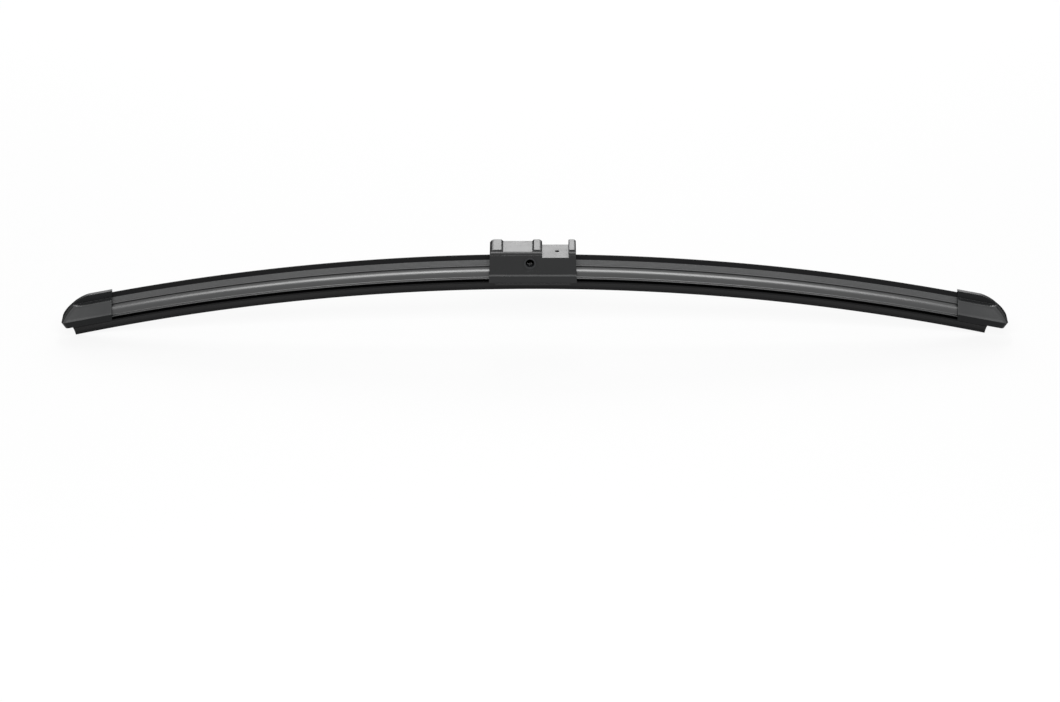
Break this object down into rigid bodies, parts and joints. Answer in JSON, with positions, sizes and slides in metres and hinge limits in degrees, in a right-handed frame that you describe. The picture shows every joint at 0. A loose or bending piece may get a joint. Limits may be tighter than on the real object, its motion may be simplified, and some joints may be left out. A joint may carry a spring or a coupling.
{
  "type": "wiper blade",
  "caption": "Flat windscreen wiper blade: bowed steel rails, wiping rubber, finned spoilers, end caps and a ribbed connector with a bore for a side pin arm.",
  "frame": {"origin": "centre of the pin bore, halfway through the connector", "axes": "+X along the blade, -Y out of the side that the pin enters, +Z away from the glass"},
  "size_m": [0.5624, 0.022, 0.0577],
  "materials": {
    "rubber": "matt extruded rubber with a graphite bloom",
    "rail_steel": "rolled spring steel",
    "spoiler": "gloss hard base and satin soft fin",
    "end_cap": "fine spark-eroded moulding",
    "base": "plain moulding",
    "housing": "satin moulding",
    "bush": "smooth bearing plastic"
  },
  "bodies": {
    "root": {"wiper_rubber": "rubber", "spring_rail_front": "rail_steel", "spring_rail_rear": "rail_steel", "spoiler_left": "spoiler", "spoiler_right": "spoiler", "end_cap_left": "end_cap", "end_cap_right": "end_cap", "connector_base": "base", "connector_housing": "housing", "bearing_bush_front": "bush", "bearing_bush_rear": "bush"}
  },
  "joints": []
}
